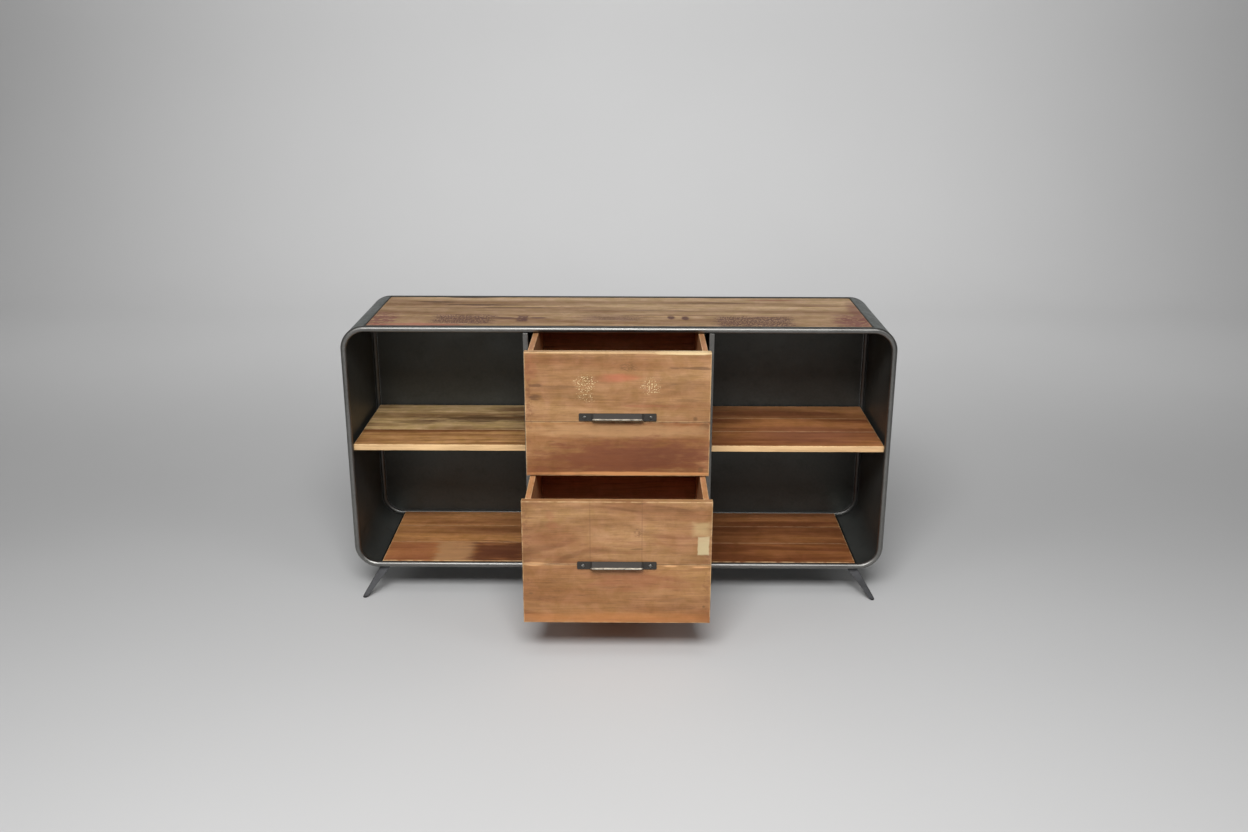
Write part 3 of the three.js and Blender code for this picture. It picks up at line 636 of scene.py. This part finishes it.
def rim(name):
    """A round tube bent to a rectangle with round corners."""
    low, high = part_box(name)
    middle_y, middle_z = (low.y + high.y) / 2, (low.z + high.z) / 2
    corner_steps, sides = 20, 28
    outline = rounded_rect(high.x - TUBE_RADIUS, (high.z - low.z) / 2 - TUBE_RADIUS, CORNER, corner_steps)
    count = len(outline)
    rings = []
    for i, (x, z) in enumerate(outline):
        before, after = outline[i - 1], outline[(i + 1) % count]
        run = Vector((after[0] - before[0], after[1] - before[1])).normalized()
        out = Vector((run.y, -run.x))
        ring = []
        for j in range(sides):
            angle = -2 * math.pi * j / sides
            reach = TUBE_RADIUS * math.cos(angle)
            y = middle_y + TUBE_RADIUS * math.sin(angle)
            ring.append((x + out.x * reach, y, middle_z + z + out.y * reach))
        rings.append(ring)
    shape = Shape()
    sweep(shape, rings, closed=True)
    # The back rim takes the darker copy of the rim steel: painted shade.
    finish = RIM if name == "front_rim" else SHADED_BACK_RIM
    return shape.piece(f"{name}_tube", "case", finish, [name])


def side_sheet(side):
    """One bent sheet: out from the top, round the corner, down, and round the lower corner. Its outer
    face is marked as edge, where its finish paints paler, speckled patches: painted light that makes
    the outside lighter than the shaded inside."""
    name = f"side_sheet_{side}"
    low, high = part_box(name)
    sign = -1 if side == "left" else 1
    face = low.x if sign < 0 else high.x
    start = high.x if sign < 0 else low.x
    radius = abs(face - start) - SHEET / 2
    steps = 24
    line = []
    for upper in (True, False):
        centre_z = high.z - SHEET / 2 - radius if upper else low.z + SHEET / 2 + radius
        for i in range(steps + 1):
            angle = math.pi / 2 * (1 - i / steps) if upper else -math.pi / 2 * i / steps
            line.append((Vector((start, centre_z)), Vector((sign * math.cos(angle), math.sin(angle)))))
    lip, strips = 0.3 * MM, 8
    ys = [low.y, low.y + lip] + [low.y + (high.y - low.y) * i / strips for i in range(1, strips)]
    ys += [high.y - lip, high.y]
    rings = []
    outside = [1.0] * len(ys) + [0.0] * len(ys)
    for centre, out in line:
        ring = []
        for face_side in (0.5, -0.5):
            for y in ys if face_side > 0 else ys[::-1]:
                at = centre + out * (radius + face_side * SHEET)
                ring.append((at.x, y, at.y))
        rings.append(ring if sign < 0 else ring[::-1])
    shape = Shape()
    sweep(shape, rings, edge=(outside if sign < 0 else outside[::-1]) * len(rings))
    return shape.piece(f"{name}_bent", "case", SHELL, [name])


for name in ("front_rim", "back_rim"):
    rim(name)
for side in ("left", "right"):
    side_sheet(side)
    refined(f"divider_{side}", "case", CASE)
    for post in ("front_post", "rear_post"):
        refined(f"{post}_{side}", "case", RIM, 0.8 * MM, 3)
    for end in ("outer", "inner"):
        refined(f"shelf_angle_{side}_{end}", "case", RIM)
for name in ("top_tray", "bottom_tray", "back_panel"):
    refined(name, "case", CASE)

# ------------------------------------------------------------------ boards


def boards(name, body, material, slot, seed, seams=(), axis=1, tones=(), tints=(), **how):
    """Fills a CAD board with boards laid side by side along an axis. seams says where their fine
    joints are, as shares of the whole."""
    low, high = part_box(name)
    cuts = [0.0, *seams, 1.0]
    span = high[axis] - low[axis]
    shape = Shape()
    for i in range(len(cuts) - 1):
        first, last = i == 0, i == len(cuts) - 2
        a, b = low.copy(), high.copy()
        a[axis] = low[axis] + cuts[i] * span + (0.0 if first else JOINT / 2)
        b[axis] = low[axis] + cuts[i + 1] * span - (0.0 if last else JOINT / 2)
        tone = tones[i] if tones else 0.0
        tint = tints[i] if tints else (1, 1, 1)
        glued = ([] if first else [(axis, -1)]) + ([] if last else [(axis, 1)])
        board(shape, a, b, seed=seed * 10 + i, tone=tone, tint=tint, glued=glued, **how)
    return shape.piece(f"{name}_boards", body, material, [name])


for i, (name, tone) in enumerate((("front", 0.02), ("middle", 0.12), ("back", 0.0))):
    boards(f"top_plank_{name}", "case", TOP, "top_wood", seed=11 + i, tones=[tone], radius=1.2 * MM)

boards(
    "shelf_left", "case", STREAKED_SHELF, "shelf_wood", seams=[0.36, 0.6, 0.8], seed=21,
    tones=[0.1, -0.1, 0.1, -0.15],
    tints=[(0.98, 0.76, 0.6), (1, 0.97, 0.92), (0.95, 0.9, 0.84), (1, 0.97, 0.93)],
)
boards(
    "shelf_right", "case", SHELF, "shelf_wood", seams=[0.34, 0.67], seed=31,
    tones=[0.15, 0.25, 0.3], tints=[(1, 0.85, 0.75), (1, 0.84, 0.74), (0.95, 0.85, 0.78)],
)
boards(
    "bottom_board_left", "case", FLOORING, "shelf_wood", seams=[0.36, 0.7], seed=41,
    tones=[0.0, -0.1, -0.05], tints=[(1, 0.88, 0.8), (1.0, 0.95, 0.88), (1, 0.92, 0.85)],
)
boards(
    "bottom_board_right", "case", FLOORING, "shelf_wood", seams=[0.36, 0.7], seed=51,
    tones=[0.4, 0.4, 0.3], tints=[(0.9, 0.76, 0.66), (0.88, 0.76, 0.68), (0.94, 0.8, 0.7)],
)

# ------------------------------------------------------------------ legs


LEG_PLATE = Vector((62, 46, 2.7)) * MM
LEG_TOP, LEG_FOOT = Vector((30, 22)) * MM, Vector((14, 12)) * MM  # the bar's section at each end
LEG_TOP_INSET = Vector((17, 16)) * MM  # from the tray's corner to the bar's centre
LEG_CORNER, LEG_DENT, LEG_END_EASE = 1.6 * MM, 0.45 * MM, 0.8 * MM


def leg(end, side):
    """A tapered, hammered bar that leans outwards, on a plate under the case."""
    name, pad = f"leg_{end}_{side}", f"foot_pad_{end}_{side}"
    low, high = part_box(name)
    pad_low, pad_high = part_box(pad)
    sign = Vector((-1 if side == "left" else 1, -1 if end == "front" else 1))
    foot = Vector(((pad_low.x + pad_high.x) / 2, (pad_low.y + pad_high.y) / 2))
    tray_low, tray_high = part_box("bottom_tray")
    corner_x = tray_low.x if sign.x < 0 else tray_high.x
    corner_y = tray_low.y if sign.y < 0 else tray_high.y
    inset = Vector((sign.x * (LEG_TOP_INSET.x + TOUCH), sign.y * LEG_TOP_INSET.y))
    top = Vector((corner_x, corner_y)) - inset
    plate_x = sorted((corner_x - sign.x * TOUCH, corner_x - sign.x * (LEG_PLATE.x + TOUCH)))
    plate_y = sorted((corner_y, corner_y - sign.y * LEG_PLATE.y))
    shape = Shape()
    plate_low = Vector((plate_x[0], plate_y[0], high.z - LEG_PLATE.z))
    plate_high = Vector((plate_x[1], plate_y[1], high.z))
    board(shape, plate_low, plate_high, radius=0.6 * MM, step=15 * MM, warp=0.1 * MM, wear=0.1 * MM)
    bar_high = high.z - LEG_PLATE.z / 2
    rings = []
    steps, dents_per_metre = 30, 110
    for i in range(steps + 1):
        t = i / steps
        z = low.z + t * (bar_high - low.z)
        centre = foot.lerp(top, t)
        half = LEG_FOOT.lerp(LEG_TOP, t) / 2
        ease = LEG_END_EASE if i == 0 else 0.0
        ring = []
        for x, y in rounded_rect(half.x - ease, half.y - ease, LEG_CORNER, 3):
            spot_at = Vector((centre.x + x, centre.y + y, z))
            hammered = 0.5 + 0.5 * noise.noise(spot_at * dents_per_metre)
            away = Vector((x, y)).normalized() * LEG_DENT * hammered
            ring.append((spot_at.x - away.x, spot_at.y - away.y, z))
        rings.append(ring)
    sweep(shape, rings)
    shape.piece(f"{name}_forged", "case", LEG, [name])

    radius, base = (pad_high.x - pad_low.x) / 2, pad_low.z
    # Shares of the pad's radius and height, from the floor up
    rows = [(0.75, 0.0), (0.93, 0.06), (1.0, 0.25), (1.0, 0.8), (0.95, 0.95), (0.85, 1.0)]
    sides = 36
    turns = [2 * math.pi * j / sides for j in range(sides)]
    rings = []
    for share, up in rows:
        reach, z = share * radius, base + up * (pad_high.z - base)
        rings.append([(foot.x + reach * math.cos(a), foot.y + reach * math.sin(a), z) for a in turns])
    shape = Shape()
    sweep(shape, rings)
    shape.piece(f"{pad}_round", "case", PAD, [pad])


for end in ("front", "back"):
    for side in ("left", "right"):
        leg(end, side)

# ------------------------------------------------------------------ drawers


def handle(name, body):
    """A pressed pull: two screwed tabs, and between them a grip that slopes out and down to a lip."""
    low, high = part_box(f"{name}_handle")
    middle_z, half_z = (low.z + high.z) / 2, (high.z - low.z) / 2
    out_y = high.y - low.y
    thick, run, reach, drop, lip_thick = 3 * MM, 8 * MM, 12 * MM, 11 * MM, 2.5 * MM
    tab_round, tab_length, hood_wall, ease = 3 * MM, 39 * MM, 4.1 * MM, 0.45 * MM
    grip_x = high.x - tab_length
    lip_low = half_z - drop - lip_thick

    def section(share, half):
        """The strip's outline as (forward, up): over its upper edge, down the hood's face, out to the
        lip and back underneath. share is 0 at a tab and 1 at the grip."""
        out = thick + share * reach
        lip = share * (out_y - thick - reach)
        foot = -half + share * (lip_low + half)
        bend = foot + lip_thick
        inner = share * reach
        wall = half - share * hood_wall
        return [
            (0, wall - ease - (1 - share) * thick), (0, half - ease), (ease, half), (thick - ease, half),
            (thick + share * 0.4 * MM, half - ease), (out - share * 0.3 * MM, bend + 0.7 * MM),
            (out + 0.1 * lip, bend + 0.15 * MM), (out + 0.85 * lip, bend), (out + lip, bend - ease),
            (out + lip, foot + ease), (out + 0.85 * lip - (1 - share) * ease, foot),
            (inner + ease, foot), (inner, foot + ease),
        ]

    tab_end = high.x
    tab_rows = (0.0, 0.15, 0.5, 1.0, 1.8, 3.0, 10, 17, 24)  # mm from the tab's end
    stations = [(tab_end - back * MM, 0.0) for back in tab_rows]
    bend_steps, grip_steps = 10, 6
    for i in range(bend_steps + 1):
        turn = i / bend_steps
        stations.append((grip_x + run * (1 - turn), turn * turn * (3 - 2 * turn)))
    stations += [(grip_x * (1 - i / grip_steps), 1.0) for i in range(1, grip_steps)]
    whole = stations + [(0.0, 1.0)] + [(-x, share) for x, share in reversed(stations)]
    rings = []
    for x, share in whole:
        corner = max(0.0, tab_round - (tab_end - abs(x))) / tab_round
        half = half_z - tab_round * (1 - math.sqrt(max(0.0, 1 - corner * corner)))
        rings.append([(x, high.y - forward, middle_z + up) for forward, up in section(share, half)][::-1])
    lip_corners, corners = (6, 7, 8), len(rings[0])
    # The lip's corners are painted pale: a painted highlight.
    lip_highlight = []
    for x, share in whole:
        lip_highlight += [share if i in lip_corners else 0.0 for i in range(corners)][::-1]
    shape = Shape()
    sweep(shape, rings, edge=lip_highlight)
    shape.piece(f"{name}_handle_pressed", body, PULL, [f"{name}_handle"])


def screw(name, body):
    """A slotted round-head screw."""
    low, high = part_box(name)
    centre_x, centre_z = (low.x + high.x) / 2, (low.z + high.z) / 2
    radius = (high.x - low.x) / 2
    rise, shank, tip, taper = 2.4 * MM, 2 * MM, 0.3 * MM, 4 * MM
    slot_half, slot_depth = 0.55 * MM, 1.1 * MM
    seat_y = low.y + rise
    turn = random.Random(name).uniform(0, math.pi)
    shape = Shape()
    spokes, circles = 48, 16
    rings = []
    rows = [(tip, high.y), (shank, high.y - taper), (shank, seat_y), (0.97 * radius, seat_y)]
    for reach, y in rows:
        ring = []
        for j in range(spokes):
            angle = 2 * math.pi * j / spokes
            ring.append((centre_x + reach * math.cos(angle), y, centre_z + reach * math.sin(angle)))
        rings.append(ring)
    for i in range(circles + 1):
        share = max(1 - i / circles, 0.04)
        ring = []
        for j in range(spokes):
            angle = 2 * math.pi * j / spokes
            x, z = share * radius * math.cos(angle), share * radius * math.sin(angle)
            up = rise * math.sqrt(max(0.0, 1 - (0.94 * share) ** 2)) if share < 1 else 0.3 * rise
            across = abs(x * math.sin(turn) - z * math.cos(turn))
            if across < slot_half and share < 1:
                up = max(0.2 * rise, up - slot_depth)
            ring.append((centre_x + x, seat_y - up, centre_z + z))
        rings.append(ring)
    sweep(shape, rings)
    shape.piece(f"{name}_slotted", body, SCREW, [name])


def drawer(name, front_material, seam, seed):
    """A drawer with its slides. seam is how far up the front its two boards meet, as a share."""
    body, carriers = f"{name}_drawer", f"{name}_carriers"
    boards(
        f"{name}_drawer_front", body, front_material, "front_wood", seams=[seam], axis=2, seed=seed,
        tones=[0.05, -0.08], tints=[(1, 0.95, 0.88), (1, 1, 1)], radius=0.9 * MM,
    )
    for side in ("left", "right"):
        boards(f"{name}_drawer_side_{side}", body, DRAWER_SIDE, "drawer_wood", seed=seed + 1, radius=1.0 * MM)
        refined(f"{name}_slide_rail_{side}", "case", ZINC, 0.3 * MM)
        refined(f"{name}_slide_carrier_{side}", carriers, ZINC, 0.3 * MM)
        refined(f"{name}_slide_runner_{side}", body, ZINC, 0.3 * MM)
        screw(f"{name}_handle_screw_{side}", body)
    boards(f"{name}_drawer_back", body, DRAWER, "drawer_wood", seed=seed + 2, radius=1.0 * MM)
    boards(f"{name}_drawer_bottom", body, DRAWER, "drawer_wood", seed=seed + 3, radius=0.8 * MM)
    handle(name, body)


drawer("lower", LOWER_FRONT, 0.49, 61)
drawer("upper", UPPER_FRONT, 0.445, 71)

# ------------------------------------------------------------------ studio


def studio():
    """A pale floor that curves up into a backdrop."""
    floor_start, floor_end, curve, wall, reach, steps = -7.0, 3.6, 1.6, 6.0, 9.0, 24
    line = [(floor_start, 0.0), (floor_start / 2, 0.0), (0.0, 0.0), (floor_end, 0.0)]
    for i in range(1, steps + 1):
        angle = math.pi / 2 * i / steps
        line.append((floor_end + curve * math.sin(angle), curve * (1 - math.cos(angle))))
    line.append((floor_end + curve, wall))
    points = [(x, y, z) for x in (-reach, reach) for y, z in line]
    count = len(line)
    faces = [(i, count + i, count + i + 1, i + 1) for i in range(count - 1)]
    mesh = bpy.data.meshes.new("backdrop")
    mesh.from_pydata(points, [], faces)
    mesh.polygons.foreach_set("use_smooth", [True] * len(mesh.polygons))
    s = Shader("backdrop_paper")
    cloud = s.noise(s.place, 0.7, 2.0)
    s.feed(s.bsdf.inputs["Base Color"], s.mix(cloud, srgb(196, 196, 196), srgb(203, 203, 203)))
    s.feed(s.bsdf.inputs["Roughness"], s.smooth(cloud, 0.2, 0.8, 0.8, 0.9))
    mesh.materials.append(s.material)
    backdrop = bpy.data.objects.new("backdrop", mesh)
    scene.collection.objects.link(backdrop)


def softbox(name, place, target, size, power, spread):
    """A rectangular lamp, unseen by the camera. power is in watts and spread in degrees."""
    light = bpy.data.lights.new(name, "AREA")
    light.shape = "RECTANGLE"
    light.size, light.size_y = size
    light.energy = power
    light.spread = math.radians(spread)
    lamp = bpy.data.objects.new(name, light)
    lamp.location = place
    lamp.rotation_euler = (Vector(target) - Vector(place)).to_track_quat("-Z", "Y").to_euler()
    lamp.visible_camera = False
    scene.collection.objects.link(lamp)


studio()
# The photo's shadows say that the main light stands in front, about 45 degrees up.
softbox("main", (-0.2, -3.5, 3.5), (0, -0.3, 0.3), (2.4, 1.2), 122, spread=140)
softbox("key_left", (-2.6, -2.4, 2.2), (0.2, -0.3, 0.2), (1.2, 1.2), 8, spread=150)
softbox("key_right", (2.6, -2.4, 2.2), (-0.2, -0.3, 0.2), (1.2, 1.2), 9, spread=150)
softbox("overhead", (0.0, -1.5, 3.3), (0, -0.9, 0.0), (2.4, 1.3), 12, spread=140)
softbox("backdrop_light", (0.0, 2.1, 3.5), (0, 5.2, 0.4), (7.0, 1.0), 96, spread=140)

world = bpy.data.worlds.new("studio_air")
world.use_nodes = True
air = world.node_tree.nodes["Background"]
air.inputs["Color"].default_value = (0.62, 0.62, 0.62, 1)
air.inputs["Strength"].default_value = 0.15
scene.world = world
scene.view_settings.view_transform = "Standard"

# ------------------------------------------------------------------ camera

# Focal length, place and angles come from a fit to the object's edges in the photo.
lens = bpy.data.cameras.new("camera")
lens.sensor_width = 36.0
lens.lens = 34.13
stand = (0.034046, -3.090432, 1.549546)
camera = bpy.data.objects.new("camera", lens)
pitch, yaw, roll = math.radians(17.964), math.radians(-0.354), math.radians(-0.123)
forward = Vector((math.sin(yaw) * math.cos(pitch), math.cos(yaw) * math.cos(pitch), -math.sin(pitch)))
level_right = Vector((math.cos(yaw), -math.sin(yaw), 0))
level_down = forward.cross(level_right)
right = level_right * math.cos(roll) + level_down * math.sin(roll)
down = level_down * math.cos(roll) - level_right * math.sin(roll)
axes = Matrix((right, -down, -forward)).transposed().to_4x4()
camera.matrix_world = Matrix.Translation(stand) @ axes
scene.collection.objects.link(camera)
scene.camera = camera
